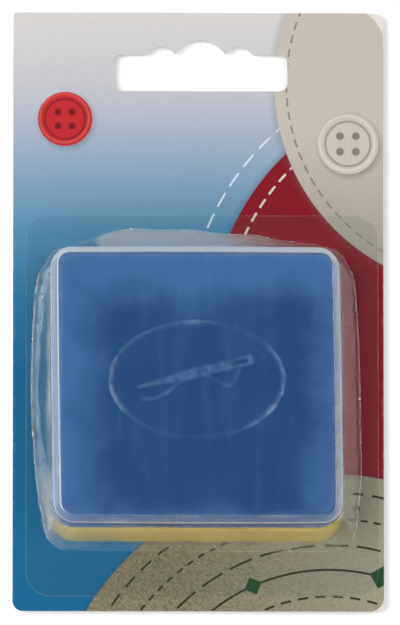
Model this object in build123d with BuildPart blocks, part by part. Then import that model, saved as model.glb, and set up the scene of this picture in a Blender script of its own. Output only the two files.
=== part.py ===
from build123d import *
from math import atan, degrees
import os

# Two plates of tailor's chalk in a carded blister pack, lying on its back.
# X runs across the card, Y up towards the hang slot, Z out of the printed front.
# The origin is the middle of the card's back face. All lengths are millimetres.

# Chalk plates, both pressed in one mould with drafted sides
chalk_face_width = 50.0
chalk_face_height = 48.0
chalk_draft_run = 1.5
chalk_thickness = 6.2
chalk_face_corner = 3.0
chalk_back_corner = 6.0
chalk_edge_round = 0.3
oval_length = 32.0
oval_height = 21.5
oval_depth = 0.5
oval_wall_run = 0.55

# The lower plate has slipped down in the wide part of the blister
slip_down = 2.0

# Thermoformed clear sheet, close round the upper plate's face
sheet = 0.3
headroom = 0.3
rim_room = 1.4
rim_bow = 0.15
rim_run = 1.05
rim_drop = 1.0
shoulder_corner = 3.9
shoulder_round = 0.6
top_round = 0.7

# The blister's foot: arched above, bowed at the sides, with its upper corners cut off
flare_sides = 3.5
flare_below = 3.7
flare_above = 4.4
foot_side_bow = 1.2
foot_arch_rise = 4.0
foot_cut_run = 2.6
foot_cut_drop = 4.8
foot_cut_round = 2.5
foot_lower_corner = 5.5
foot_bevel = 0.8

# Sealing flange, wider to the right of the foot and below it
flange_left = 1.2
flange_right = 3.6
flange_above = 2.75
flange_below = 8.55
flange_corner = 4.5

# Backing card and its borders round the flange
card_thickness = 0.6
border_left = 2.4
border_right = 1.0
border_above = 37.6
border_below = 2.7
card_corner = 1.9
card_square_corner = 0.6

# Three-lobed hang slot, a little right of the card's middle line
slot_width = 32.0
slot_height = 6.7
slot_end_radius = 1.5
slot_offset_x = 0.4
slot_top_margin = 7.85
middle_lobe_radius = 5.3
middle_lobe_rise = 2.7
side_lobe_radius = 2.9
side_lobe_rise = 1.5
side_lobe_pitch = 7.1
lobe_valley_round = 0.55
lobe_shoulder_round = 1.2

# How far cutting bodies run past what they cut, and how near a height an edge counts as lying on it
overrun = 1.0
level_tolerance = 0.03

# Sizes that follow from the plates outwards to the card
shoulder_width = chalk_face_width + rim_room * 2
shoulder_height = chalk_face_height + rim_room * 2
foot_width = shoulder_width + flare_sides * 2
foot_above = shoulder_height / 2 + flare_above
foot_below = shoulder_height / 2 + flare_below
flange_width = flange_left + foot_width + flange_right
flange_height = flange_below + foot_below + foot_above + flange_above
card_width = border_left + flange_width + border_right
card_height = border_below + flange_height + border_above

# Middles of the cavity and of the flange, from the card's middle
cavity_x = border_left + flange_left + foot_width / 2 - card_width / 2
cavity_y = border_below + flange_below + foot_below - card_height / 2
flange_x = border_left + flange_width / 2 - card_width / 2
flange_y = border_below + flange_height / 2 - card_height / 2

# Heights of the stack
lower_chalk_z = card_thickness
upper_chalk_z = lower_chalk_z + chalk_thickness
stack_top_z = upper_chalk_z + chalk_thickness
blister_top_z = stack_top_z + headroom + sheet
shoulder_z = blister_top_z - rim_drop


# A rectangle whose sides bow outwards, with rounded corners
def bowed_face(width, height, bow, corner):
    right = width / 2 - bow
    top = height / 2 - bow
    with BuildSketch() as outline:
        with BuildLine():
            ThreePointArc((-right, -top), (0, -top - bow), (right, -top))
            ThreePointArc((right, -top), (right + bow, 0), (right, top))
            ThreePointArc((right, top), (0, top + bow), (-right, top))
            ThreePointArc((-right, top), (-right - bow, 0), (-right, -top))
        make_face()
        fillet(outline.vertices(), corner)
    return outline.sketch


# The foot of the blister, which is the outline where its walls meet the flange
def foot_face(inset):
    side = foot_width / 2
    corner_x = side - foot_side_bow
    cut_x = corner_x - foot_cut_run
    arch_y = foot_above - foot_arch_rise
    cut_y = arch_y - foot_cut_drop
    middle_y = (cut_y - foot_below) / 2
    with BuildSketch() as outline:
        with BuildLine():
            Line((-corner_x, -foot_below), (corner_x, -foot_below))
            ThreePointArc((corner_x, -foot_below), (side, middle_y), (corner_x, cut_y))
            Line((corner_x, cut_y), (cut_x, arch_y))
            ThreePointArc((cut_x, arch_y), (0, foot_above), (-cut_x, arch_y))
            Line((-cut_x, arch_y), (-corner_x, cut_y))
            ThreePointArc((-corner_x, cut_y), (-side, middle_y), (-corner_x, -foot_below))
        make_face()
        fillet(outline.vertices().filter_by(lambda v: v.Y > 0), foot_cut_round)
        fillet(outline.vertices().filter_by(lambda v: v.Y < 0), foot_lower_corner)
        offset(amount=-inset, kind=Kind.INTERSECTION, mode=Mode.REPLACE)
    return outline.sketch


# The card, with its hang slot punched near the upper edge
def make_card():
    slot_top_y = card_height / 2 - slot_top_margin
    slot_center_y = slot_top_y - slot_height / 2
    with BuildSketch() as slot:
        with Locations((slot_offset_x, slot_center_y)):
            RectangleRounded(slot_width, slot_height, slot_end_radius)
        with Locations((slot_offset_x, slot_top_y + middle_lobe_rise - middle_lobe_radius)):
            Circle(middle_lobe_radius)
        side_lobe_y = slot_top_y + side_lobe_rise - side_lobe_radius
        with Locations(
            (slot_offset_x - side_lobe_pitch, side_lobe_y),
            (slot_offset_x + side_lobe_pitch, side_lobe_y),
        ):
            Circle(side_lobe_radius)
        # The lobes stand only on the upper side of the slot
        with Locations((slot_offset_x, slot_center_y - slot_height / 2)):
            Rectangle(slot_width, slot_height, align=(Align.CENTER, Align.MAX), mode=Mode.SUBTRACT)
        # The corners where the lobes meet each other, and where they meet the straight edge
        lobe_reach = side_lobe_pitch + side_lobe_radius
        lobe_corners = slot.vertices().filter_by(
            lambda v: abs(v.X - slot_offset_x) < lobe_reach and v.Y > slot_center_y
        )
        by_reach = lobe_corners.sort_by(lambda v: abs(v.X - slot_offset_x))
        valleys = by_reach[:-2]
        shoulders = by_reach[-2:]
        fillet(shoulders, lobe_shoulder_round)
        fillet(valleys, lobe_valley_round)
    with BuildPart() as card:
        with BuildSketch():
            Rectangle(card_width, card_height)
        extrude(amount=card_thickness)
        # The upper left corner is cut almost square, the other three are rounded
        corners = card.edges().filter_by(Axis.Z).sort_by(lambda e: e.center().X - e.center().Y)
        fillet(corners[1:], card_corner)
        left = card.edges().filter_by(Axis.Z).sort_by(lambda e: e.center().X - e.center().Y)
        fillet(left[0], card_square_corner)
        with BuildSketch(Plane.XY.offset(-overrun)):
            add(slot.sketch)
        extrude(amount=card_thickness + overrun * 2, mode=Mode.SUBTRACT)
    return card


# One chalk plate with its back at the given height
def make_chalk(center_x, center_y, back_z):
    back = Plane((center_x, center_y, back_z))
    back_width = chalk_face_width + chalk_draft_run * 2
    back_height = chalk_face_height + chalk_draft_run * 2
    with BuildPart() as chalk:
        with BuildSketch(back):
            RectangleRounded(back_width, back_height, chalk_back_corner)
        with BuildSketch(back.offset(chalk_thickness)):
            RectangleRounded(chalk_face_width, chalk_face_height, chalk_face_corner)
        loft(ruled=True)
        fillet(chalk.edges().group_by(Axis.Z)[-1], chalk_edge_round)
        # The bare oval where the face is pressed in
        with BuildSketch(back.offset(chalk_thickness)):
            Ellipse(oval_length / 2, oval_height / 2)
        with BuildSketch(back.offset(chalk_thickness - oval_depth)):
            Ellipse(oval_length / 2 - oval_wall_run, oval_height / 2 - oval_wall_run)
        loft(ruled=True, mode=Mode.SUBTRACT)
    return chalk


# The form inside or outside the blister's sheet: wide foot, drafted walls, bevelled rim, flat top
def make_cavity_form(inset):
    foot = Plane((cavity_x, cavity_y, card_thickness))
    shoulder = foot.offset(shoulder_z - card_thickness - inset / 2)
    top = foot.offset(blister_top_z - card_thickness - inset)
    width = shoulder_width - inset * 2
    height = shoulder_height - inset * 2
    corner = shoulder_corner - inset
    shoulder_face = bowed_face(width, height, rim_bow, corner)
    top_face = bowed_face(width - rim_run * 2, height - rim_run * 2, rim_bow, corner - rim_run)
    with BuildPart() as form:
        with BuildSketch(foot):
            add(foot_face(inset))
        with BuildSketch(shoulder):
            add(shoulder_face)
        loft(ruled=True)
        with BuildSketch(shoulder):
            add(shoulder_face)
        with BuildSketch(top):
            add(top_face)
        loft(ruled=True)
        fillet(form.edges().group_by(Axis.Z)[-1], top_round - inset)
        on_shoulder = form.edges().filter_by(
            lambda e: all(abs(v.Z - shoulder.origin.Z) < level_tolerance for v in e.vertices())
        )
        fillet(on_shoulder, shoulder_round - inset)
    return form.part


# The blister with its sealing flange, which lies flat on the card round the open foot
def make_blister():
    flange_z = card_thickness + sheet
    with BuildPart() as blister:
        add(make_cavity_form(0))
        with BuildSketch(Plane((flange_x, flange_y, card_thickness))):
            RectangleRounded(flange_width, flange_height, flange_corner)
        extrude(amount=sheet)
        on_flange = blister.edges().filter_by(
            lambda e: all(abs(v.Z - flange_z) < level_tolerance for v in e.vertices())
        )
        foot_edges = on_flange.filter_by(
            lambda e: abs(e.center().X - cavity_x) < foot_width / 2
            and -foot_below < e.center().Y - cavity_y < foot_above
        )
        chamfer(foot_edges, foot_bevel)
        add(make_cavity_form(sheet), mode=Mode.SUBTRACT)
    return blister


os.makedirs("parts", exist_ok=True)

card = make_card()
card.part.label = "backing_card"
export_step(card.part, "parts/backing_card.step")

yellow = make_chalk(cavity_x, cavity_y - slip_down, lower_chalk_z)
yellow.part.label = "yellow_chalk"
export_step(yellow.part, "parts/yellow_chalk.step")

blue = make_chalk(cavity_x, cavity_y, upper_chalk_z)
blue.part.label = "blue_chalk"
export_step(blue.part, "parts/blue_chalk.step")

blister = make_blister()
blister.part.label = "clear_blister"
export_step(blister.part, "parts/clear_blister.step")

draft = degrees(atan(flare_sides / (shoulder_z - card_thickness)))
print(f"blister walls lean {draft:.1f} degrees, top at {blister_top_z:.2f} mm")
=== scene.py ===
import math

import bmesh
import bpy
from mathutils import Matrix, Vector, noise


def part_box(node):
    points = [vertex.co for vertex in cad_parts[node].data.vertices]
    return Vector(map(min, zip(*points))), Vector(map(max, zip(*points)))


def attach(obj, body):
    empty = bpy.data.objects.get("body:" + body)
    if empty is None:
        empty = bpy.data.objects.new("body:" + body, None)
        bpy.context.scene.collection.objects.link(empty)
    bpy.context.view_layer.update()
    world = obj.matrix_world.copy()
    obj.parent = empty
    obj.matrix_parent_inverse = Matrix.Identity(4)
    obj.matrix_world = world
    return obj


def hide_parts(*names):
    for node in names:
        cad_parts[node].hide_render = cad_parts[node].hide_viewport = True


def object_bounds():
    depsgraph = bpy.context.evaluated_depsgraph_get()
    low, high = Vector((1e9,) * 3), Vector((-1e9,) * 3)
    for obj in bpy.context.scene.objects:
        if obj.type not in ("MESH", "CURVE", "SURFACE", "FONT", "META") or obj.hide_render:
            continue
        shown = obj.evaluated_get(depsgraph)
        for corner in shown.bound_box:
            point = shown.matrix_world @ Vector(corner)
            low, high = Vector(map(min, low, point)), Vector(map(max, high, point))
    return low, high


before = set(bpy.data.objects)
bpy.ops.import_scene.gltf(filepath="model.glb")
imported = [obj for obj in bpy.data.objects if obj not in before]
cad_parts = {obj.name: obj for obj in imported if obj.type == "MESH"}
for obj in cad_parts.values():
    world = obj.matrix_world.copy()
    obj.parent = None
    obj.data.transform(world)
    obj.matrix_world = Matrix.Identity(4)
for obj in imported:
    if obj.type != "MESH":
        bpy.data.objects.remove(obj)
cadLow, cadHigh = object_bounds()
print("frame loaded")

mm = 0.001
printBlur = 0.05  # millimetres over which a printed edge fades


def toLinear(hexColour):
    # sRGB hex to the linear values that shaders want
    channels = [int(hexColour[i:i + 2], 16) / 255 for i in (1, 3, 5)]
    return [c / 12.92 if c <= 0.04045 else ((c + 0.055) / 1.055) ** 2.4 for c in channels] + [1.0]


def addNode(tree, kind, inputs=None, **settings):
    # inputs: socket name or number, with a value to set or a node or socket to link
    node = tree.nodes.new(kind)
    for name, value in settings.items():
        setattr(node, name, value)
    for name, value in (inputs or {}).items():
        if isinstance(value, bpy.types.Node):
            value = value.outputs[0]
        if isinstance(value, bpy.types.NodeSocket):
            tree.links.new(value, node.inputs[name])
        else:
            node.inputs[name].default_value = value
    return node


def startMaterial(name):
    material = bpy.data.materials.new(name)
    material.use_nodes = True
    material.node_tree.nodes.clear()
    return material, material.node_tree


def dress(piece, material):
    piece.data.materials.clear()
    piece.data.materials.append(material)


def millimetrePlace(tree, centre=(0, 0, 0)):
    # the piece's own place in millimetres, counted from centre
    coordinate = addNode(tree, "ShaderNodeTexCoord")
    return addNode(tree, "ShaderNodeMapping",
                   {0: coordinate.outputs["Object"], "Location": [-c for c in centre], "Scale": (1000, 1000, 1000)})


def layInks(tree, ground, layers):
    # inks laid over the ground one after another, each with the mask that says where it shows
    colour = toLinear(ground) if isinstance(ground, str) else ground
    for ink, mask in layers:
        ink = toLinear(ink) if isinstance(ink, str) else ink
        colour = addNode(tree, "ShaderNodeMix", {0: mask, 6: colour, 7: ink}, data_type="RGBA").outputs[2]
    return colour


def discDistance(tree, place, disc):
    # how far a spot of the card is from the disc's centre, at any height
    centre = addNode(tree, "ShaderNodeCombineXYZ", {0: disc["x"], 1: disc["y"]})
    parts = addNode(tree, "ShaderNodeSeparateXYZ", {0: place})
    flat = addNode(tree, "ShaderNodeCombineXYZ", {0: parts.outputs[0], 1: parts.outputs[1]})
    return addNode(tree, "ShaderNodeVectorMath", {0: flat, 1: centre}, operation="DISTANCE").outputs["Value"]


def discMask(tree, place, disc, grow=0.0, blur=printBlur, strength=1.0):
    # strength within the disc and nothing outside it
    radius = disc["radius"] + grow
    return addNode(tree, "ShaderNodeMapRange",
                   {0: discDistance(tree, place, disc), 1: radius - blur, 2: radius + blur, 3: strength, 4: 0.0})


def circleMask(tree, place, disc, radius, width, blur=printBlur):
    # a line along a circle round the disc's centre
    offset = addNode(tree, "ShaderNodeMath", {0: discDistance(tree, place, disc), 1: radius}, operation="SUBTRACT")
    across = addNode(tree, "ShaderNodeMath", {0: offset}, operation="ABSOLUTE")
    return addNode(tree, "ShaderNodeMapRange",
                   {0: across, 1: width / 2 - blur, 2: width / 2 + blur, 3: 1.0, 4: 0.0})


def stitchMask(tree, place, swatch, row):
    # thread dashes along a circle, row["inset"] within the swatch's edge
    radius = swatch["radius"] - row["inset"]
    line = circleMask(tree, place, swatch, radius, row["width"])
    local = addNode(tree, "ShaderNodeMapping", {0: place, "Location": (-swatch["x"], -swatch["y"], 0)})
    parts = addNode(tree, "ShaderNodeSeparateXYZ", {0: local})
    angle = addNode(tree, "ShaderNodeMath", {0: parts.outputs[1], 1: parts.outputs[0]}, operation="ARCTAN2")
    along = addNode(tree, "ShaderNodeMath", {0: angle, 1: radius / row["pitch"]}, operation="MULTIPLY")
    part = addNode(tree, "ShaderNodeMath", {0: along, 1: 1.0}, operation="PINGPONG")
    endBlur = 0.04
    dash = addNode(tree, "ShaderNodeMapRange",
                   {0: part, 1: row["dash"] - endBlur, 2: row["dash"] + endBlur, 3: 1.0, 4: 0.0})
    return addNode(tree, "ShaderNodeMath", {0: line, 1: dash}, operation="MULTIPLY")


def laySwatch(tree, place, under, swatch, cloth):
    # a round swatch over the soft shadow that it seems to cast, with its rows of stitches
    shadow = swatch["shadow"]
    layers = [(shadow["ink"], discMask(tree, place, swatch, shadow["grow"], shadow["blur"], shadow["depth"])),
              (cloth, discMask(tree, place, swatch))]
    layers += [(row["ink"], stitchMask(tree, place, swatch, row)) for row in swatch["rows"]]
    return layInks(tree, under, layers)


def layButton(tree, place, under, button, turning):
    # a printed four-hole button with a turned rim, lit from the upper left
    x, y, radius = button["x"], button["y"], button["radius"]
    below = {"x": x + turning["shadowRight"], "y": y - turning["shadowDown"], "radius": radius}
    lit = {"x": x - turning["lightLeft"], "y": y + turning["lightUp"]}
    soft = turning["shadow"]
    layers = [(button["shadow"], discMask(tree, place, below, soft["grow"], soft["blur"], soft["depth"])),
              (button["face"], discMask(tree, place, button, 0.0, turning["faceBlur"])),
              (button["dark"], circleMask(tree, place, button, radius * turning["rim"], turning["rimWidth"],
                                          turning["rimBlur"])),
              (button["light"], circleMask(tree, place, lit, radius * turning["lip"], turning["lipWidth"],
                                           turning["lipBlur"]))]
    out = radius * turning["holeOut"]
    for signX in (-1, 1):
        for signY in (-1, 1):
            hole = {"x": x + signX * out, "y": y + signY * out, "radius": radius * turning["hole"]}
            layers.append((button["dark"], discMask(tree, place, hole, 0.0, turning["holeBlur"])))
    return layInks(tree, under, layers)


cardPrint = {
    # all places and sizes are in millimetres
    # ink of the ground, from the lower edge (0) to the upper edge (1)
    "ground": [(0.0, "#006695"), (0.12, "#006A9A"), (0.3, "#006996"), (0.4, "#04689A"), (0.52, "#2478A4"),
               (0.635, "#5290B4"), (0.72, "#86A5C0"), (0.79, "#A7B5C8"), (0.87, "#C7C8CF"), (0.94, "#D5D3D4"),
               (1.0, "#DBD8D5")],
    "wool": {"x": 48.0, "y": -4.0, "radius": 46.0, "light": "#990B27", "dark": "#850820", "thread": 0.7,
             "shadow": {"ink": "#2E4A5E", "grow": 0.3, "blur": 0.9, "depth": 0.5},
             "rows": [{"inset": 2.6, "width": 0.42, "pitch": 1.5, "dash": 0.62, "ink": "#DDD5CC"},
                      {"inset": -4.2, "width": 0.36, "pitch": 2.2, "dash": 0.66, "ink": "#DCE4EA"}]},
    # the linen is shaded towards its lower end
    "linen": {"x": 52.0, "y": 42.0, "radius": 38.0, "light": "#CCC3B8", "dark": "#A8A091", "thread": 0.55,
              "contrast": 0.16, "shade": "#8C8373", "shadeFrom": 12.0, "shadeTo": 34.0, "shadeDepth": 0.55,
              "shadow": {"ink": "#5E5A58", "grow": 0.4, "blur": 1.0, "depth": 0.4},
              "rows": [{"inset": 2.2, "width": 0.34, "pitch": 1.3, "dash": 0.6, "ink": "#8D8577"}]},
    # the pattern paper is paler towards the right, painted light as if the card's right side caught more light; its
    # rows are cutting lines, the fourth one unbroken
    "paper": {"x": 24.0, "y": -82.0, "radius": 52.0, "light": "#938B73", "dark": "#68604B",
              "pale": "#B0AA97", "paleFrom": -2.0, "paleTo": 34.0, "paleDepth": 0.6,
              "shadow": {"ink": "#23343A", "grow": 0.25, "blur": 0.75, "depth": 0.45},
              "rows": [{"inset": inset, "width": 0.4, "pitch": pitch, "dash": dash, "ink": "#27301F"}
                       for inset, pitch, dash in ((3.4, 2.1, 0.62), (8.2, 1.2, 0.55), (13.0, 3.0, 0.74),
                                                  (17.6, 50.0, 1.2), (22.5, 1.6, 0.6))]},
    # notches of the paper: degrees round from straight up, how far in from its edge, half their size
    "notches": [(8.0, 8.2, 1.9), (-16.0, 17.6, 2.2), (24.0, 17.6, 1.7)],
    "notchInk": "#1C4A26",
    "buttons": [{"x": 27.5, "y": 31.0, "radius": 5.6, "face": "#CDC6BB", "light": "#E4DED6", "dark": "#8A8274",
                 "shadow": "#6F675B"},
                {"x": -24.5, "y": 35.5, "radius": 5.0, "face": "#C4282C", "light": "#E0605C", "dark": "#7E1519",
                 "shadow": "#6B7480"}],
    # rim, lip and holes as shares of a button's radius
    "turning": {"rim": 0.74, "lip": 0.9, "holeOut": 0.26, "hole": 0.13,
                "rimWidth": 0.28, "rimBlur": 0.18, "lipWidth": 0.2, "lipBlur": 0.2, "faceBlur": 0.08, "holeBlur": 0.07,
                "shadowRight": 0.35, "shadowDown": 0.45, "lightLeft": 0.12, "lightUp": 0.14,
                "shadow": {"grow": 0.15, "blur": 0.65, "depth": 0.55}},
    # the ink stops at these arcs: a wide bare corner above, a thin one below
    "bareCorners": [{"x": 26.1, "y": 48.4, "radius": 8.38}, {"x": 31.3, "y": -52.55, "radius": 2.7}],
    "cutBlur": 0.08,
    "rubbedFrom": -0.5, "rubbedTo": -0.05, "rubbed": 0.3,  # how far in from the card's edge, and how much
    "board": "#F8F3EC",
    "boardBack": "#DCD6CC",
    "varnish": 0.38, "bareBoard": 0.85,  # roughness
}


def printedCard():
    # coated board, offset printed and varnished: saturated flat inks with a satin gloss, bare pale board at the cuts
    material, tree = startMaterial("printed_coated_board")
    place = millimetrePlace(tree)
    parts = addNode(tree, "ShaderNodeSeparateXYZ", {0: place})
    low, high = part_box("backing_card")
    bottom, top, front = low.y / mm, high.y / mm, high.z / mm
    weaveScale = 0.314  # wave texture scale at which one thread is 1 mm wide

    # ground ink, lighter towards the hang slot
    height = addNode(tree, "ShaderNodeMapRange", {0: parts.outputs[1], 1: bottom, 2: top})
    ramp = addNode(tree, "ShaderNodeValToRGB", {0: height})
    stops = ramp.color_ramp.elements
    while len(stops) < len(cardPrint["ground"]):
        stops.new(0.5)
    for stop, (position, ink) in zip(stops, cardPrint["ground"]):
        stop.position = position
        stop.color = toLinear(ink)

    # swatch of wool cloth, twill weave
    wool = cardPrint["wool"]
    warp = addNode(tree, "ShaderNodeTexWave", {0: place, "Scale": weaveScale / wool["thread"], "Distortion": 0.6,
                                               "Detail": 1.0, "Detail Scale": 0.4},
                   wave_type="BANDS", bands_direction="DIAGONAL")
    weave = addNode(tree, "ShaderNodeTexNoise", {0: place, "Scale": 1.1, "Detail": 3.0})
    raised = addNode(tree, "ShaderNodeMath", {0: warp.outputs[1], 1: weave.outputs[0]}, operation="MULTIPLY")
    cloth = layInks(tree, wool["dark"], [(wool["light"], raised)])
    colour = laySwatch(tree, place, ramp.outputs[0], wool, cloth)

    # swatch of linen, warp and weft
    linen = cardPrint["linen"]
    threads = [addNode(tree, "ShaderNodeTexWave", {0: place, "Scale": weaveScale / linen["thread"], "Distortion": 0.8,
                                                   "Detail": 2.0, "Detail Scale": 0.5},
                       wave_type="BANDS", bands_direction=way).outputs[1] for way in ("X", "Y")]
    crossed = addNode(tree, "ShaderNodeMath", {0: threads[0], 1: threads[1]}, operation="MULTIPLY")
    raised = addNode(tree, "ShaderNodeMath", {0: crossed, 1: linen["contrast"]}, operation="MULTIPLY")
    shade = addNode(tree, "ShaderNodeMapRange", {0: parts.outputs[1], 1: linen["shadeFrom"], 2: linen["shadeTo"],
                                                 3: linen["shadeDepth"], 4: 0.0})
    cloth = layInks(tree, linen["light"], [(linen["dark"], raised), (linen["shade"], shade)])
    colour = laySwatch(tree, place, colour, linen, cloth)

    # disc of pattern paper with cutting lines and notches
    paper = cardPrint["paper"]
    fibre = addNode(tree, "ShaderNodeTexNoise", {0: place, "Scale": 2.4, "Detail": 4.0, "Roughness": 0.75})
    flecks = addNode(tree, "ShaderNodeMapRange", {0: fibre.outputs[0], 1: 0.36, 2: 0.6})
    # painted light: the paper grows paler towards the right
    paler = addNode(tree, "ShaderNodeMapRange", {0: parts.outputs[0], 1: paper["paleFrom"], 2: paper["paleTo"],
                                                 3: 0.0, 4: paper["paleDepth"]})
    sheet = layInks(tree, paper["dark"], [(paper["light"], flecks), (paper["pale"], paler)])
    colour = laySwatch(tree, place, colour, paper, sheet)
    for degrees, inset, size in cardPrint["notches"]:
        reach = paper["radius"] - inset
        angle = math.radians(90 + degrees)
        centre = (paper["x"] + reach * math.cos(angle), paper["y"] + reach * math.sin(angle), 0)
        local = addNode(tree, "ShaderNodeMapping", {0: place, "Location": [-c for c in centre]})
        turned = addNode(tree, "ShaderNodeMapping", {0: local, "Rotation": (0, 0, math.radians(-degrees))})
        sides = addNode(tree, "ShaderNodeSeparateXYZ", {0: turned})
        sideX = addNode(tree, "ShaderNodeMath", {0: sides.outputs[0]}, operation="ABSOLUTE")
        sideY = addNode(tree, "ShaderNodeMath", {0: sides.outputs[1]}, operation="ABSOLUTE")
        diamond = addNode(tree, "ShaderNodeMath", {0: sideX, 1: sideY}, operation="ADD")
        notch = addNode(tree, "ShaderNodeMapRange", {0: diamond, 1: size - printBlur, 2: size + printBlur,
                                                     3: 1.0, 4: 0.0})
        colour = layInks(tree, colour, [(cardPrint["notchInk"], notch)])

    for button in cardPrint["buttons"]:
        colour = layButton(tree, place, colour, button, cardPrint["turning"])

    # ink speckle of the press
    speckle = addNode(tree, "ShaderNodeTexNoise", {0: place, "Scale": 4.0, "Detail": 4.0, "Roughness": 0.7})
    tone = addNode(tree, "ShaderNodeMapRange", {0: speckle.outputs[0], 1: 0.25, 2: 0.75, 3: 0.93, 4: 1.07})
    colour = addNode(tree, "ShaderNodeVectorMath", {0: colour, "Scale": tone}, operation="SCALE").outputs[0]

    # bare board where the ink stops at the right-hand corners, along the rubbed edges, and at the cuts
    fibreBoard = addNode(tree, "ShaderNodeTexNoise", {0: place, "Scale": 2.5, "Detail": 6.0, "Roughness": 0.75})
    board = layInks(tree, cardPrint["boardBack"], [(cardPrint["board"], fibreBoard.outputs[0])])
    cutBlur = cardPrint["cutBlur"]
    for bare in cardPrint["bareCorners"]:
        beyond = addNode(tree, "ShaderNodeMapRange", {0: discDistance(tree, place, bare),
                                                      1: bare["radius"] - cutBlur, 2: bare["radius"] + cutBlur})
        rightward = addNode(tree, "ShaderNodeMath", {0: parts.outputs[0], 1: bare["x"]}, operation="GREATER_THAN")
        endward = addNode(tree, "ShaderNodeMath", {0: parts.outputs[1], 1: bare["y"]},
                          operation="GREATER_THAN" if bare["y"] > 0 else "LESS_THAN")
        inCorner = addNode(tree, "ShaderNodeMath", {0: rightward, 1: endward}, operation="MULTIPLY")
        unprinted = addNode(tree, "ShaderNodeMath", {0: inCorner, 1: beyond}, operation="MULTIPLY")
        colour = layInks(tree, colour, [(board, unprinted)])

    fromMiddle = [addNode(tree, "ShaderNodeMath", {0: parts.outputs[axis]}, operation="ABSOLUTE") for axis in (0, 1)]
    pastSide = addNode(tree, "ShaderNodeMath", {0: fromMiddle[0], 1: high.x / mm}, operation="SUBTRACT")
    pastEnd = addNode(tree, "ShaderNodeMath", {0: fromMiddle[1], 1: top}, operation="SUBTRACT")
    toEdge = addNode(tree, "ShaderNodeMath", {0: pastSide, 1: pastEnd}, operation="MAXIMUM")
    near = addNode(tree, "ShaderNodeMapRange", {0: toEdge, 1: cardPrint["rubbedFrom"], 2: cardPrint["rubbedTo"]})
    rubNoise = addNode(tree, "ShaderNodeTexNoise", {0: place, "Scale": 0.8, "Detail": 5.0, "Roughness": 0.8})
    rubPatch = addNode(tree, "ShaderNodeMapRange", {0: rubNoise.outputs[0], 1: 0.52, 2: 0.68,
                                                    4: cardPrint["rubbed"]})
    rubbed = addNode(tree, "ShaderNodeMath", {0: near, 1: rubPatch}, operation="MULTIPLY")
    colour = layInks(tree, colour, [(board, rubbed)])
    onFront = addNode(tree, "ShaderNodeMath", {0: parts.outputs[2], 1: front - 0.01}, operation="GREATER_THAN")
    colour = layInks(tree, board, [(colour, onFront)])

    gloss = addNode(tree, "ShaderNodeMapRange", {0: onFront, 3: cardPrint["bareBoard"], 4: cardPrint["varnish"]})
    relief = addNode(tree, "ShaderNodeBump", {"Strength": 0.25, "Distance": 0.00002, "Height": fibreBoard.outputs[0]})
    shader = addNode(tree, "ShaderNodeBsdfPrincipled",
                     {"Base Color": colour, "Roughness": gloss, "IOR": 1.48, "Specular IOR Level": 0.22,
                      "Normal": relief})
    addNode(tree, "ShaderNodeOutputMaterial", {0: shader})
    return material


dress(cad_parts["backing_card"], printedCard())
print("card printed")


# rings are closed outlines of eight matched stretches, so every ring has the same number of points
ringShare = {"side": 84, "corner": 36}
ringCount = 4 * (ringShare["side"] + ringShare["corner"])


def cornerPoints(centre, radius, startDegrees):
    # a quarter of a circle, without its last point
    made = []
    for i in range(ringShare["corner"]):
        angle = math.radians(startDegrees + 90 * (i / ringShare["corner"]))
        made.append(Vector((centre[0] + radius * math.cos(angle), centre[1] + radius * math.sin(angle))))
    return made


def plateOutline(shape):
    # rounded rectangle with bowed sides, anticlockwise from its lower right
    bow, corner, midX, midY = shape["bow"], shape["corner"], shape["x"], shape["y"]
    halfX, halfY = shape["width"] / 2 - bow, shape["height"] / 2 - bow
    innerX, innerY = halfX - corner, halfY - corner
    points = []
    for quarter in range(4):
        for i in range(ringShare["side"]):
            u = 2 * (i / ringShare["side"]) - 1
            swell = bow * (1 - u * u)
            if quarter == 0:
                points.append(Vector((midX + halfX + swell, midY + innerY * u)))
            elif quarter == 1:
                points.append(Vector((midX - innerX * u, midY + halfY + swell)))
            elif quarter == 2:
                points.append(Vector((midX - halfX - swell, midY - innerY * u)))
            else:
                points.append(Vector((midX + innerX * u, midY - halfY - swell)))
        signX = (1, -1, -1, 1)[quarter]
        signY = (1, 1, -1, -1)[quarter]
        points += cornerPoints((midX + signX * innerX, midY + signY * innerY), corner, 90 * quarter)
    return [Vector((p.x + shape.get("lean", 0.0) * (p.y - midY), p.y)) for p in points]


def outward(points, i):
    # unit normal of a closed outline at its point i
    along = (points[(i + 1) % len(points)] - points[i - 1]).normalized()
    return Vector((along.y, -along.x))


def grown(points, distance):
    return [p + outward(points, i) * distance for i, p in enumerate(points)]


def between(first, second, share):
    return [a.lerp(b, share) for a, b in zip(first, second)]


def stackRings(rings, closeStart, closeEnd, mark):
    # one skin: a circle extruded ring by ring, each ring laid on its outline
    # rings hold x, y, z in millimetres and how strong the mark is there: dust on chalk; on the sheet, its milkiness
    # with painted highlights
    shell = bmesh.new()
    marked = shell.verts.layers.float.new(mark)

    def settle(verts, ring):
        for vert, place in zip(verts, ring):
            vert.co = Vector(place[:3]) * mm
            vert[marked] = place[3]

    bmesh.ops.create_circle(shell, cap_ends=False, radius=1.0, segments=ringCount)
    first = edges = list(shell.edges)
    chain = orderedLoop(edges)
    settle(chain, rings[0])
    for ring in rings[1:]:
        made = bmesh.ops.extrude_edge_only(shell, edges=edges)
        newVerts = {v for v in made["geom"] if isinstance(v, bmesh.types.BMVert)}
        edges = [e for e in made["geom"] if isinstance(e, bmesh.types.BMEdge) and e.verts[0] in newVerts
                 and e.verts[1] in newVerts]
        partner = {}
        for v in newVerts:
            for e in v.link_edges:
                other = e.other_vert(v)
                if other not in newVerts:
                    partner[other] = v
        chain = [partner[v] for v in chain]
        settle(chain, ring)
    if closeStart:
        closePole(shell, first)
    if closeEnd:
        closePole(shell, edges)
    bmesh.ops.recalc_face_normals(shell, faces=shell.faces)
    return shell


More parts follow.
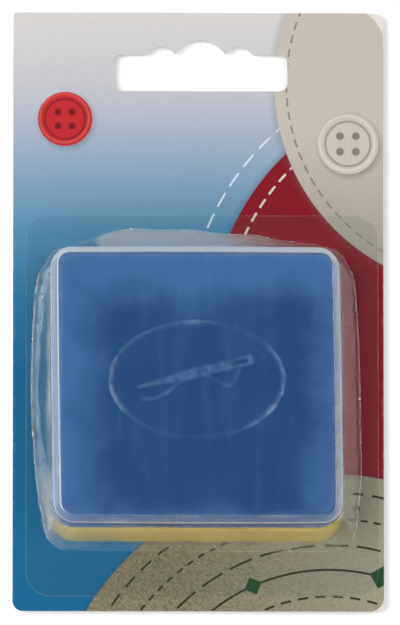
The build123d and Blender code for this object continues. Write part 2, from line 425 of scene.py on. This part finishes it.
def orderedLoop(edges):
    chain = [edges[0].verts[0], edges[0].verts[1]]
    while len(chain) < len(edges):
        for e in chain[-1].link_edges:
            other = e.other_vert(chain[-1])
            if other is not chain[-2]:
                chain.append(other)
                break
    return chain


def closePole(shell, edges):
    made = bmesh.ops.extrude_edge_only(shell, edges=edges)
    newVerts = [v for v in made["geom"] if isinstance(v, bmesh.types.BMVert)]
    middle = sum((v.co for v in newVerts), Vector()) / len(newVerts)
    bmesh.ops.pointmerge(shell, verts=newVerts, merge_co=middle)


def finishPiece(shell, name):
    for face in shell.faces:
        face.smooth = True
    mesh = bpy.data.meshes.new(name)
    shell.to_mesh(mesh)
    shell.free()
    piece = bpy.data.objects.new(name, mesh)
    bpy.context.scene.collection.objects.link(piece)
    return piece


sheetForm = {
    "thickness": 0.26,
    "flange": {"x": 0.7, "y": -17.45, "width": 64.6, "height": 70.2, "corner": 4.5, "bow": 0.0},
    "flangeLow": 0.62, "flangeLift": 0.015,
    "flangeEdge": [(0.0, 0.3), (0.03, 0.3), (0.15, 0.0)],  # how far in, haze of the cut edge
    "sealGap": 0.45, "sealBelow": 1.3, "sealRise": 3.6, "sealLine": 0.06, "foldLine": 0.05,
    # dents: place along the edge, spread, depth
    "foot": {"x": -0.5, "halfWidth": 28.7, "sideBow": 1.2, "low": -44.0, "cutLow": 6.1, "cutHigh": 10.9,
             "cutRun": 2.6, "archRise": 4.0, "cornerLeft": 4.2, "cornerRight": 4.4, "soften": 10,
             "leftDents": [(-3.0, 6.0, 0.1), (-31.0, 12.0, -0.6), (-43.0, 7.5, -1.6), (1.6, 1.2, 0.25)],
             "rightDents": [(-31.0, 6.0, 0.35), (-12.0, 9.0, -0.1)],
             "archDents": [(-14.0, 4.5, 0.95), (4.0, 4.0, -0.7), (6.9, 1.2, -0.45), (14.5, 4.5, -0.75)],
             "lowDents": [(12.0, 14.0, 0.12), (-18.0, 8.0, -0.1)]},
    "footRound": 0.5, "footInset": 0.2, "foldInset": 0.15, "foldTurn": 0.82, "foldSteps": 5,
    "rim": {"x": -0.58, "y": -14.88, "width": 52.9, "height": 50.8, "corner": 3.9, "bow": 0.1,
            "lean": -0.014},
    "top": {"x": -0.55, "y": -14.65, "width": 50.4, "height": 48.3, "corner": 2.2, "bow": 0.1, "lean": -0.014},
    "rimHigh": 12.6, "shoulderRound": 0.6, "bevelRun": 1.4, "bevelDrop": 1.0, "topRound": 0.7,
    "topDip": 0.03, "topSag": 0.05,
    "ripple": 0.2, "rippleMean": 0.55, "wallSteps": 18,
    # where rings lie between the flange's edge and the seal (1), and on the top between its edge (1) and middle
    "flangeShares": (0.2, 0.45, 0.7, 0.9, 0.97), "topShares": (0.97, 0.92, 0.84, 0.72, 0.57, 0.4, 0.22, 0.08),
    # how milky the sheet is, with painted highlights on the fold and the rim's bevel; a pair gives the two places in
    # millimetres between which a veil comes or goes
    "veil": {
        "wall": 0.3, "wallLoss": 0.08, "fold": 0.26, "seal": 0.05,
        "above": 2.8, "aboveStart": (-19.2, -18.0), "aboveLoss": 0.6, "aboveFade": (3.0, 22.0),
        "below": 0.6, "belowLeast": 0.12, "belowFade": (-24.0, -10.0),
        "left": 0.05, "leftLow": 0.75, "leftLowFade": (-33.0, -27.0),
        "leftInner": 0.2, "leftInnerFade": (-28.7, -27.5), "right": 0.06,
        "foldWall": 0.7, "foldLeft": 0.8, "foldRight": 0.25,
        # painted highlights: the bevel's band, the line along its outer edge, and the line along its inner edge on the
        # left
        "band": 0.42, "bandUpward": 0.28, "line": 0.66, "lineRight": 0.2, "lineUpward": 0.08, "innerLine": 0.85,
    },
}


def dentAt(dents, along):
    return sum(depth * math.exp(-((along - place) / spread) ** 2) for place, spread, depth in dents)


def footOutline(shape, grow=0.0):
    # the foot where the sheet folds out into the flange: arched above, cut upper corners, dented sides
    x, halfX, side = shape["x"], shape["halfWidth"], ringShare["side"]
    low, cutLow, cutRun = shape["low"], shape["cutLow"], shape["cutRun"]
    cornerLeft, cornerRight = shape["cornerLeft"], shape["cornerRight"]
    rightLow, leftLow, middle = low + cornerRight, low + cornerLeft, (low + cutLow) / 2

    def sideX(y, sign):
        u = max(-1.0, min(1.0, (y - middle) / ((cutLow - low) / 2)))
        dents = shape["rightDents"] if sign > 0 else shape["leftDents"]
        return x + sign * (halfX + shape["sideBow"] * (1 - u * u) + dentAt(dents, y))

    def sidePoint(y, sign):
        return Vector((sideX(y, sign), y))

    def archPoint(alongX):
        u = (alongX - x) / (halfX - cutRun)
        return Vector((alongX, shape["cutHigh"] + shape["archRise"] * (1 - u * u) + dentAt(shape["archDents"], alongX)))

    def cutPoints(start, end):
        return [start.lerp(end, i / ringShare["corner"]) for i in range(ringShare["corner"])]

    points = [sidePoint(rightLow + (cutLow - rightLow) * i / side, 1) for i in range(side)]
    points += cutPoints(sidePoint(cutLow, 1), archPoint(x + halfX - cutRun))
    points += [archPoint(x + (halfX - cutRun) * (1 - 2 * i / side)) for i in range(side)]
    points += cutPoints(archPoint(x - halfX + cutRun), sidePoint(cutLow, -1))
    points += [sidePoint(cutLow + (leftLow - cutLow) * i / side, -1) for i in range(side)]
    startX, endX = sideX(leftLow, -1) + cornerLeft, sideX(rightLow, 1) - cornerRight
    points += cornerPoints((startX, leftLow), cornerLeft, 180)
    for i in range(side):
        alongX = startX + (endX - startX) * (i / side)
        points.append(Vector((alongX, low - dentAt(shape["lowDents"], alongX))))
    points += cornerPoints((endX, rightLow), cornerRight, 270)
    for _ in range(shape["soften"]):
        points = [(points[i - 1] + points[i] * 2 + points[(i + 1) % len(points)]) / 4 for i in range(len(points))]
    return grown(points, grow)


def roundedSection(corners, radii, steps):
    # a wall's profile as (out, up) pairs with its corners rounded; out counts from the rim's outline
    made = [Vector(corners[0])]
    for before, corner, after, radius in zip(corners, corners[1:], corners[2:], radii):
        before, corner, after = Vector(before), Vector(corner), Vector(after)
        back, ahead = (before - corner).normalized(), (after - corner).normalized()
        turn = math.pi - back.angle(ahead)
        reach = radius * math.tan(turn / 2)
        a, b = corner + back * reach, corner + ahead * reach
        for i in range(steps + 1):
            t = i / steps
            made.append(a * (1 - t) ** 2 + corner * 2 * t * (1 - t) + b * t ** 2)
    made.append(Vector(corners[-1]))
    return made


def wallRipple(place, height):
    # creases of the drawn sheet: long and upright, strongest half way up
    long = Vector((place.x * 0.16, place.y * 0.16, height * 0.05 + 4.0))
    short = Vector((place.x * 0.45, place.y * 0.45, height * 0.09 + 11.0))
    return 0.62 * noise.noise(long) + 0.38 * noise.noise(short)


def easeBetween(value, ends):
    t = max(0.0, min(1.0, (value - ends[0]) / (ends[1] - ends[0])))
    return t * t * (3 - 2 * t)


def wallVeil(place, side):
    # how milky the drawn wall is: most above, under a sharp left end, little below on the right
    veil = sheetForm["veil"]
    above = easeBetween(place.x, veil["aboveStart"]) * (1 - veil["aboveLoss"] * easeBetween(place.x, veil["aboveFade"]))
    below = veil["belowLeast"] + (1 - veil["belowLeast"]) * (1 - easeBetween(place.x, veil["belowFade"]))
    left = (veil["left"] + veil["leftLow"] * (1 - easeBetween(place.y, veil["leftLowFade"]))
            + veil["leftInner"] * easeBetween(place.x, veil["leftInnerFade"]))
    return (veil["above"] * max(0.0, side.y) * above + veil["below"] * max(0.0, -side.y) * below
            + max(0.0, -side.x) * left + veil["right"] * max(0.0, side.x))


def foldMilkAndHighlight(place, side):
    # the fold is as milky as the wall on it, with a pale line down both sides, stronger on the left: partly painted
    # highlight of the lamp glinting on the fold
    veil = sheetForm["veil"]
    return (veil["foldWall"] * wallVeil(place, side) + veil["foldLeft"] * max(0.0, -side.x)
            + veil["foldRight"] * max(0.0, side.x))


def rimPaintedHighlight(side, step):
    # painted highlight on the bent sheet: the bevel is pale, paler along its outer edge and on the left along its inner
    # edge too, as the rim's rounds catch the lamps; the top is clear
    veil = sheetForm["veil"]
    outerLine, innerLine = math.exp(-((step - 4.5) / 2.2) ** 2), math.exp(-((step - 11.0) / 1.8) ** 2)
    share = 1.0 if step < 11 else 0.1
    return (share * (veil["band"] + veil["bandUpward"] * side.y)
            + (veil["line"] + veil["lineRight"] * side.x + veil["lineUpward"] * side.y) * outerLine
            + innerLine * veil["innerLine"] * max(0.0, -side.x))


def clearBlister():
    form, foot, rim, veil = sheetForm, sheetForm["foot"], sheetForm["rim"], sheetForm["veil"]
    flangeRing, rimRing, topRing = plateOutline(form["flange"]), plateOutline(rim), plateOutline(form["top"])
    foldRing = footOutline(foot, form["footRound"] - form["footInset"])
    footRing = footOutline(foot, -form["footInset"])
    # the heat seal follows the foot closely, but below it runs straight and leaves a loose strip
    sealRing = footOutline(foot, form["sealGap"])
    for place in sealRing:
        loose = max(0.0, min(1.0, (foot["low"] + form["sealRise"] - place.y) / form["sealRise"]))
        place.y -= form["sealBelow"] * loose
    lowZ = form["flangeLow"] + form["thickness"]
    liftZ = lowZ + form["flangeLift"]
    rings = []

    def lay(ring, z, ripple=0.0, hazeAndHighlight=0.0, bySide=None):
        placed = []
        for i, place in enumerate(ring):
            side = outward(ring, i)
            out = side * (ripple * (form["rippleMean"] + wallRipple(place, z)))
            placed.append((place.x + out.x, place.y + out.y, z, hazeAndHighlight * bySide(place, side) if bySide else hazeAndHighlight))
        rings.append(placed)

    for inward, hazeAndHighlight in form["flangeEdge"]:
        lay(grown(flangeRing, -inward), lowZ, 0.0, hazeAndHighlight)
    for share in form["flangeShares"]:
        lay(between(flangeRing, sealRing, share), lowZ)
    lay(sealRing, lowZ)
    lay(grown(sealRing, -form["sealLine"]), liftZ, 0.0, veil["seal"])
    lay(between(sealRing, foldRing, 0.4), liftZ)
    lay(grown(foldRing, form["foldLine"]), liftZ)
    lay(foldRing, liftZ)
    # fold from the flange into the wall
    for i in range(1, form["foldSteps"] + 1):
        angle = math.radians(90 * i / form["foldSteps"]) * form["foldTurn"]
        startZ = liftZ + form["footRound"] * (1 - math.cos(angle))
        lay(footOutline(foot, form["footRound"] * (1 - math.sin(angle)) - form["foldInset"]), startZ,
            form["ripple"] * i / form["foldSteps"], veil["fold"], foldMilkAndHighlight)
    endZ = form["rimHigh"] - form["shoulderRound"]
    for i in range(1, form["wallSteps"]):
        share = i / form["wallSteps"]
        hazeAndHighlight = veil["wall"] - veil["wallLoss"] * share
        lay(between(footRing, rimRing, share), startZ + (endZ - startZ) * share,
            form["ripple"] * (1 - share ** 2.5), hazeAndHighlight, wallVeil)
    # shoulder, bevel and top edge, all counted inwards from the rim
    topZ = form["rimHigh"] + form["bevelDrop"]
    section = roundedSection([(0.04, endZ), (0.0, form["rimHigh"]), (-form["bevelRun"], topZ),
                              (-form["bevelRun"] - 2.0, topZ)], [form["shoulderRound"], form["topRound"]], 6)
    for step, (out, up) in enumerate(section[:-1]):
        lay(between(rimRing, topRing, -out / form["bevelRun"]), up, 0.0, 1.0, lambda place, side: rimPaintedHighlight(side, step))
    edgeRing = between(rimRing, topRing, -section[-2].x / form["bevelRun"])
    middle = Vector((rim["x"], rim["y"]))
    for share in form["topShares"]:
        placed = []
        for place in edgeRing:
            spot = middle + (place - middle) * share
            sag = form["topSag"] * noise.noise(Vector((spot.x * 0.09, spot.y * 0.09, 2.0)))
            placed.append((spot.x, spot.y, topZ - form["topDip"] + sag * (1 - share) * 2, 0.0))
        rings.append(placed)
    piece = finishPiece(stackRings(rings, False, True, "hazeAndHighlight"), "clear_blister_sheet")
    wall = piece.modifiers.new("sheet_thickness", "SOLIDIFY")
    wall.thickness = form["thickness"] * mm
    wall.offset = -1.0
    return piece


def clearSheet():
    # thermoformed clear vinyl: sharp highlights on its folds, milky where it was stretched or bent, with painted
    # highlights along the rim's bevel and the fold laid in the milky shader
    material, tree = startMaterial("thermoformed_clear_vinyl")
    place = millimetrePlace(tree)
    around = addNode(tree, "ShaderNodeMapping", {0: place, "Scale": (0.14, 0.14, 2.2)})
    drawn = addNode(tree, "ShaderNodeTexNoise", {0: around, "Scale": 1.0, "Detail": 4.0, "Roughness": 0.62})
    upright = addNode(tree, "ShaderNodeMapping", {0: place, "Scale": (1.0, 1.0, 0.12)})
    ribs = addNode(tree, "ShaderNodeTexNoise", {0: upright, "Scale": 0.35, "Detail": 3.0, "Roughness": 0.6})
    fine = addNode(tree, "ShaderNodeTexNoise", {0: place, "Scale": 2.2, "Detail": 2.0})
    relief = addNode(tree, "ShaderNodeBump", {"Strength": 0.14, "Distance": 0.0001, "Height": drawn.outputs[0]})
    scuff = addNode(tree, "ShaderNodeBump", {"Strength": 0.12, "Distance": 0.00003, "Height": fine.outputs[0],
                                             "Normal": relief})
    tint = layInks(tree, "#F6FAFA", [("#FDFEFE", drawn.outputs[0])])
    hazeAndHighlight = addNode(tree, "ShaderNodeAttribute", attribute_name="hazeAndHighlight", attribute_type="GEOMETRY").outputs["Fac"]
    dulled = addNode(tree, "ShaderNodeMapRange", {0: hazeAndHighlight, 3: 0.05, 4: 0.4})
    vinyl = addNode(tree, "ShaderNodeBsdfPrincipled",
                    {"Base Color": tint, "Roughness": dulled, "IOR": 1.5, "Specular IOR Level": 0.38,
                     "Transmission Weight": 1.0, "Normal": scuff})
    streaks = addNode(tree, "ShaderNodeMapRange", {0: drawn.outputs[0], 1: 0.5, 2: 0.62, 3: 0.0, 4: 1.0})
    patches = addNode(tree, "ShaderNodeMapRange", {0: ribs.outputs[0], 1: 0.38, 2: 0.62, 3: 0.15, 4: 1.0})
    # strongly bent places, the painted highlights among them, are milky throughout; drawn walls only in streaks
    streaky = addNode(tree, "ShaderNodeMath", {0: streaks, 1: patches}, operation="MULTIPLY")
    pattern = addNode(tree, "ShaderNodeMix", {0: hazeAndHighlight, 2: streaky, 3: 1.0}, data_type="FLOAT")
    milkAndHighlight = addNode(tree, "ShaderNodeMath", {0: hazeAndHighlight, 1: pattern}, operation="MULTIPLY")
    # the milky shader also lays the painted highlights along the rim's bevel and the fold
    milky = addNode(tree, "ShaderNodeBsdfPrincipled",
                    {"Base Color": toLinear("#EEF1F4"), "Roughness": 0.35, "IOR": 1.5})
    lit = addNode(tree, "ShaderNodeBsdfTranslucent", {0: toLinear("#FFFFFF")})
    veil = addNode(tree, "ShaderNodeMixShader", {0: 0.5, 1: milky, 2: lit})
    sheet = addNode(tree, "ShaderNodeMixShader", {0: milkAndHighlight, 1: vinyl, 2: veil})
    # lamplight and light from the card pass straight through, as they do through a real sheet this thin
    clear = addNode(tree, "ShaderNodeBsdfTransparent", {0: toLinear("#FAFBFB")})
    path = addNode(tree, "ShaderNodeLightPath")
    lampWay = addNode(tree, "ShaderNodeMath", {0: path.outputs["Is Shadow Ray"], 1: path.outputs["Is Diffuse Ray"]},
                      operation="MAXIMUM")
    letThrough = addNode(tree, "ShaderNodeMixShader", {0: lampWay, 1: sheet, 2: clear})
    addNode(tree, "ShaderNodeOutputMaterial", {0: letThrough})
    return material


blister = clearBlister()
dress(blister, clearSheet())
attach(blister, "blister")
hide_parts("clear_blister")
print("blister formed")


plateForm = {
    "faceWidth": 50.0, "faceHeight": 48.0, "draft": 1.5, "thickness": 6.2,
    "faceCorner": 3.0, "backCorner": 4.5, "edgeRound": 0.35,
    # back edge: how far in, how far up, wear, dust
    "backEdge": [(0.45, 0.0, 0.5, 0.0), (0.15, 0.08, 1.0, 0.8), (0.02, 0.32, 1.0, 0.4)],
    "edgeDust": (0.1, 0.25, 0.4, 0.35, 0.15),
    "ovalWidth": 32.0, "ovalHeight": 21.5, "ovalUp": 0.97,
    # slope into the oval: how far in, how deep, dust
    "ovalSlope": [(-0.3, 0.0, 0.0), (-0.1, 0.02, 0.6), (0.1, 0.08, 1.0), (0.48, 0.34, 0.45), (0.8, 0.46, 0.15),
                  (1.0, 0.5, 0.0)],
    # pale arcs of the oval's edge: degrees round from +X, spread, strength
    "ovalWear": [(-12, 40, 1.3), (100, 26, 0.75), (192, 40, 1.25)],
    "reliefHeight": 0.32, "reliefDust": 0.42, "floorSteps": 44, "wear": 0.1,
    # relief in the oval; reachLong and reachAcross bound it
    "needle": {"turn": 14, "up": 1.2, "halfLength": 10.6, "halfWidth": 0.75, "taperFrom": -11.0, "taperRun": 9.0,
               "eyeAt": 8.6, "eyeHalf": 1.0, "eyeRound": 0.45, "softEdge": 0.6,
               "threadLong": 19.0, "threadPoints": 90, "threadHalf": 0.25, "threadHeight": 0.8,
               "reachLong": 12.5, "reachAcross": 7.0},
    # pale: the ink of the chalk face's margin, which is painted light
    "inks": {"blue_chalk": {"base": "#1C4E8A", "light": "#86A6CE", "dark": "#0B4681", "pale": "#406EA9"},
             "yellow_chalk": {"base": "#E0BC32", "light": "#E8D98A", "dark": "#D3AC26", "pale": "#E4C646"}},
    # the pale margin is painted light; this shift lays more of it above and on the left
    "patternShift": (1.2, -5.0),  # makes the pale margin wider above and on the left
}


def ovalRing(shape, inset):
    # matched to plateOutline: the middle of the right side comes first
    points = []
    a, b = plateForm["ovalWidth"] / 2 - inset, plateForm["ovalHeight"] / 2 - inset
    for i in range(ringCount):
        angle = 2 * math.pi * (i - ringShare["side"] / 2) / ringCount
        points.append(Vector((shape["x"] + a * math.cos(angle),
                              shape["y"] + plateForm["ovalUp"] + b * math.sin(angle))))
    return points


def ovalDust(i):
    # the oval's edge is rubbed pale at both ends and a little above, and stays dark below
    angle = 360 * (i - ringShare["side"] / 2) / ringCount
    return sum(strength * math.exp(-(((angle - at + 180) % 360 - 180) / spread) ** 2)
               for at, spread, strength in plateForm["ovalWear"])


def threadWay():
    # the pressed thread's line, from the needle's eye round to its loose end
    needle, way = plateForm["needle"], []
    for i in range(needle["threadPoints"]):
        t = i / (needle["threadPoints"] - 1)
        u = needle["eyeAt"] - needle["threadLong"] * t + 2.2 * math.sin(math.pi * t)
        v = -2.2 * math.sin(2.6 * math.pi * t) - 2.4 * math.sin(math.pi * t)
        way.append(Vector((u, v)))
    return way


threadLine = threadWay()


def needleRelief(alongX, alongY):
    # raised sewing needle with its thread, pressed with the plate; 0 to 1
    form = plateForm["needle"]
    turn, soft = math.radians(form["turn"]), form["softEdge"]
    u = alongX * math.cos(turn) + alongY * math.sin(turn)
    v = -alongX * math.sin(turn) + alongY * math.cos(turn) - form["up"]
    if abs(u) > form["reachLong"] or abs(v) > form["reachAcross"]:
        return 0.0
    half = form["halfWidth"] * max(0.1, min(1.0, (u - form["taperFrom"]) / form["taperRun"]))
    needle = math.hypot(max(0.0, abs(u) - form["halfLength"]), max(0.0, abs(v) - half))
    spot = Vector((u, v))
    thread = max(0.0, min((spot - p).length for p in threadLine) - form["threadHalf"])
    height = max(0.0, 1.0 - needle / soft, form["threadHeight"] - thread / soft)
    eye = math.hypot(max(0.0, abs(u - form["eyeAt"]) - form["eyeHalf"]), v)
    return min(height, max(0.0, eye / 0.3 - 0.5)) if eye < form["eyeRound"] else height


def pressedPlate(name, centreX, centreY, backZ, seed):
    form = plateForm
    face = {"x": centreX, "y": centreY, "width": form["faceWidth"], "height": form["faceHeight"],
            "corner": form["faceCorner"], "bow": 0.0}
    back = dict(face, width=form["faceWidth"] + 2 * form["draft"], height=form["faceHeight"] + 2 * form["draft"],
                corner=form["backCorner"])
    backRing, faceRing = plateOutline(back), plateOutline(face)
    top = backZ + form["thickness"]
    rounding = form["edgeRound"]
    rings = []

    def rub(place, z):
        spot = Vector((place.x * 0.5 + seed, place.y * 0.5, z * 0.5))
        grain = Vector((place.x * 1.7, place.y * 1.7 + seed, z * 1.7))
        return form["wear"] * (0.6 * noise.noise(spot) + 0.4 * noise.noise(grain) - 0.45)

    def lay(ring, inset, z, worn=1.0, dust=0.0):
        placed = []
        for i, place in enumerate(ring):
            side = outward(ring, i)
            moved = place - side * inset
            moved = moved + side * (rub(moved, z) * worn)
            placed.append((moved.x, moved.y, z, dust))
        rings.append(placed)

    for share in (0.3, 0.7, 0.93):
        rings.append([(centreX + (p.x - centreX) * share, centreY + (p.y - centreY) * share, backZ, 0.0)
                      for p in backRing])
    for inset, up, worn, dust in form["backEdge"]:
        lay(backRing, inset, backZ + up, worn, dust)
    for share in (0.15, 0.3, 0.45, 0.6, 0.75, 0.88):
        lay(between(backRing, faceRing, share), 0.0, backZ + form["thickness"] * share)
    edgeSteps = len(form["edgeDust"]) - 1
    for i, dust in enumerate(form["edgeDust"]):
        angle = math.radians(90 * i / edgeSteps)
        lay(faceRing, rounding * (1 - math.cos(angle)), top - rounding * (1 - math.sin(angle)),
            1.0 if i < edgeSteps else 0.6, dust)
    edge = [Vector(place[:2]) for place in rings[-1]]
    oval = ovalRing(face, 0.0)
    for share in (0.06, 0.16, 0.3, 0.46, 0.62, 0.78, 0.9):
        rings.append([(p.x, p.y, top + 0.012 * noise.noise(Vector((p.x * 0.35, p.y * 0.35, seed))), 0.0)
                      for p in between(edge, oval, share)])
    for inset, down, dust in form["ovalSlope"]:
        floor = ovalRing(face, inset)
        rings.append([(p.x, p.y, top - down, dust * ovalDust(i)) for i, p in enumerate(floor)])
    floorZ = top - form["ovalSlope"][-1][1]
    middle = Vector((centreX, centreY + form["ovalUp"]))
    for i in range(1, form["floorSteps"]):
        share = 1 - i / form["floorSteps"]
        placed = []
        for p in floor:
            spot = middle + (p - middle) * share
            rise = needleRelief(spot.x - middle.x, spot.y - middle.y)
            placed.append((spot.x, spot.y, floorZ + form["reliefHeight"] * rise, form["reliefDust"] * rise * rise))
        rings.append(placed)
    return finishPiece(stackRings(rings, True, True, "dust"), name)


def powderyChalk(name, centre, inks):
    # pressed chalk: dry and matt, mottled from the press, paler dust where corners and edges are rubbed, and painted
    # light: a pale margin round a darker middle
    material, tree = startMaterial(name)
    place = millimetrePlace(tree, centre)
    cloud = addNode(tree, "ShaderNodeTexNoise", {0: place, "Scale": 0.09, "Detail": 5.0, "Roughness": 0.62})
    grain = addNode(tree, "ShaderNodeTexNoise", {0: place, "Scale": 2.8, "Detail": 4.0, "Roughness": 0.7})
    brushed = addNode(tree, "ShaderNodeMapping", {0: place, "Scale": (1.0, 0.12, 1.0)})
    wipe = addNode(tree, "ShaderNodeTexNoise", {0: brushed, "Scale": 0.55, "Detail": 4.0, "Roughness": 0.6})
    cloudTone = addNode(tree, "ShaderNodeMapRange", {0: cloud.outputs[0], 1: 0.32, 2: 0.68})
    # painted light: a pale margin with an uneven inner edge, so the face looks lighter at its edges and darker in the
    # middle
    parts = addNode(tree, "ShaderNodeSeparateXYZ", {0: place})
    across = [addNode(tree, "ShaderNodeMath", {0: parts.outputs[axis]}, operation="ABSOLUTE") for axis in (0, 1)]
    fromMiddle = addNode(tree, "ShaderNodeMath", {0: across[0], 1: across[1]}, operation="MAXIMUM")
    uneven = addNode(tree, "ShaderNodeMath", {0: cloud.outputs[0], 1: 14.0, 2: fromMiddle}, operation="MULTIPLY_ADD")
    margin = addNode(tree, "ShaderNodeMapRange", {0: uneven, 1: 22.5, 2: 33.5}, interpolation_type="SMOOTHSTEP")
    wipeTone = addNode(tree, "ShaderNodeMapRange", {0: wipe.outputs[0], 1: 0.5, 2: 0.8, 3: 0.0, 4: 0.07})
    speck = addNode(tree, "ShaderNodeMapRange", {0: grain.outputs[0], 1: 0.62, 2: 0.85, 3: 0.0, 4: 0.35})
    # loose dust lies in patches
    dust = addNode(tree, "ShaderNodeAttribute", attribute_name="dust", attribute_type="GEOMETRY")
    patch = addNode(tree, "ShaderNodeTexNoise", {0: place, "Scale": 0.35, "Detail": 4.0, "Roughness": 0.7})
    patchy = addNode(tree, "ShaderNodeMapRange", {0: patch.outputs[0], 1: 0.42, 2: 0.6, 3: 0.2, 4: 0.75})
    dusted = addNode(tree, "ShaderNodeMath", {0: dust.outputs["Fac"], 1: patchy}, operation="MULTIPLY")
    colour = layInks(tree, inks["dark"], [(inks["base"], cloudTone), (inks["pale"], margin), (inks["light"], wipeTone),
                                          (inks["light"], speck), (inks["light"], dusted)])
    relief = addNode(tree, "ShaderNodeBump", {"Strength": 0.5, "Distance": 0.00005, "Height": grain.outputs[0]})
    shader = addNode(tree, "ShaderNodeBsdfPrincipled",
                     {"Base Color": colour, "Roughness": 0.92, "IOR": 1.35, "Normal": relief,
                      "Sheen Weight": 0.08, "Sheen Roughness": 0.6})
    addNode(tree, "ShaderNodeOutputMaterial", {0: shader})
    return material


for node, body, slot, seed in (("blue_chalk", "upper_chalk", "blue_chalk", 3.0),
                               ("yellow_chalk", "lower_chalk", "yellow_chalk", 17.0)):
    low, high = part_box(node)
    centreX, centreY = (low.x + high.x) / 2 / mm, (low.y + high.y) / 2 / mm
    plate = pressedPlate(node + "_plate", centreX, centreY, low.z / mm, seed)
    shiftX, shiftY = plateForm["patternShift"]
    middle = (centreX + shiftX, centreY + shiftY, -seed)
    dress(plate, powderyChalk("pressed_" + node, middle, plateForm["inks"][node]))
    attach(plate, body)
    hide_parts(node)
print("chalk plates pressed")


studio = {
    "tableSize": 3.0, "tableGap": 0.0012, "tableGlow": 0.19,
    "distance": 2.0, "tiltBack": 6.5, "tiltLeft": 1.3, "aimX": 0.32, "aimY": -0.18, "heightCovered": 114.7,
    "sensor": 36.0, "lampDistance": 1.0, "skyLow": 0.5, "skyHigh": 0.09,
}


def paleTable():
    # white paper sweep: matt and even, and nearly white where it is seen
    material, tree = startMaterial("white_sweep")
    place = millimetrePlace(tree)
    mottle = addNode(tree, "ShaderNodeTexNoise", {0: place, "Scale": 0.02, "Detail": 2.0})
    tone = layInks(tree, "#FAFAFA", [("#FFFFFF", mottle.outputs[0])])
    path = addNode(tree, "ShaderNodeLightPath")
    seen = addNode(tree, "ShaderNodeMath", {0: path.outputs["Is Camera Ray"], 1: path.outputs["Is Glossy Ray"]},
                   operation="ADD")
    seen = addNode(tree, "ShaderNodeMath", {0: seen, 1: path.outputs["Is Transmission Ray"]}, operation="ADD",
                   use_clamp=True)
    strength = addNode(tree, "ShaderNodeMath", {0: seen, 1: studio["tableGlow"]}, operation="MULTIPLY")
    matt = addNode(tree, "ShaderNodeBsdfDiffuse", {0: tone})
    glow = addNode(tree, "ShaderNodeEmission", {0: toLinear("#FFFFFF"), 1: strength})
    both = addNode(tree, "ShaderNodeAddShader", {0: matt, 1: glow})
    addNode(tree, "ShaderNodeOutputMaterial", {0: both})
    return material


tableMesh = bmesh.new()
bmesh.ops.create_grid(tableMesh, x_segments=1, y_segments=1, size=studio["tableSize"] / 2)
bmesh.ops.translate(tableMesh, verts=tableMesh.verts, vec=(0, 0, cadLow.z - studio["tableGap"]))
table = finishPiece(tableMesh, "table")
dress(table, paleTable())

world = bpy.data.worlds.new("studio_tent")
bpy.context.scene.world = world
world.use_nodes = True
world.node_tree.nodes.clear()
sky = world.node_tree
direction = addNode(sky, "ShaderNodeSeparateXYZ", {0: addNode(sky, "ShaderNodeTexCoord").outputs["Generated"]})
fall = addNode(sky, "ShaderNodeMapRange", {0: direction.outputs[2], 1: 0.35, 2: 0.9, 3: studio["skyLow"],
                                           4: studio["skyHigh"]})
path = addNode(sky, "ShaderNodeLightPath")
level = addNode(sky, "ShaderNodeMix", {0: path.outputs["Is Camera Ray"], 2: fall, 3: 1.0}, data_type="FLOAT")
background = addNode(sky, "ShaderNodeBackground", {0: toLinear("#FFFFFF"), 1: level.outputs[0]})
addNode(sky, "ShaderNodeOutputWorld", {0: background})


softboxes = {
    # degrees above the table and round from +X, width across and length in metres, share of the whole light
    "left_key": {"elevation": 58, "azimuth": 174, "across": 0.55, "long": 0.55, "share": 0.49},
    "right_key": {"elevation": 60, "azimuth": 5, "across": 0.5, "long": 0.5, "share": 0.2},
    "upper_strip": {"elevation": 48, "azimuth": 92, "across": 0.1, "long": 0.9, "share": 0.04},
    "lower_strip": {"elevation": 45, "azimuth": -90, "across": 0.08, "long": 0.9, "share": 0.06},
}
for name, box in softboxes.items():
    lamp = bpy.data.lights.new(name, "AREA")
    lamp.shape = "RECTANGLE"
    lamp.size, lamp.size_y = box["long"], box["across"]
    rise, around = math.radians(box["elevation"]), math.radians(box["azimuth"])
    lamp.energy = box["share"] * math.pi ** 2 * studio["lampDistance"] ** 2 / math.sin(rise)
    holder = bpy.data.objects.new(name, lamp)
    toward = Vector((math.cos(rise) * math.cos(around), math.cos(rise) * math.sin(around), math.sin(rise)))
    holder.location = toward * studio["lampDistance"]
    holder.rotation_mode = "QUATERNION"
    holder.rotation_quaternion = toward.to_track_quat("Z", "Y")
    bpy.context.scene.collection.objects.link(holder)

camera = bpy.data.objects.new("camera", bpy.data.cameras.new("camera"))
bpy.context.scene.collection.objects.link(camera)
tiltBack, tiltLeft = math.radians(studio["tiltBack"]), math.radians(studio["tiltLeft"])
toward = Vector((-math.tan(tiltLeft), -math.tan(tiltBack), 1.0)).normalized()
camera.location = Vector((studio["aimX"], studio["aimY"], 0)) * mm + toward * studio["distance"]
across = Vector((0, 1, 0)).cross(toward).normalized()
camera.rotation_mode = "QUATERNION"
camera.rotation_quaternion = Matrix((across, toward.cross(across), toward)).transposed().to_quaternion()
camera.data.sensor_width = studio["sensor"]
camera.data.lens = studio["sensor"] * studio["distance"] / (studio["heightCovered"] * mm)
camera.data.clip_start, camera.data.clip_end = 0.1, 20.0
bpy.context.scene.camera = camera
bpy.context.scene.view_settings.view_transform = "Standard"
print("studio set")
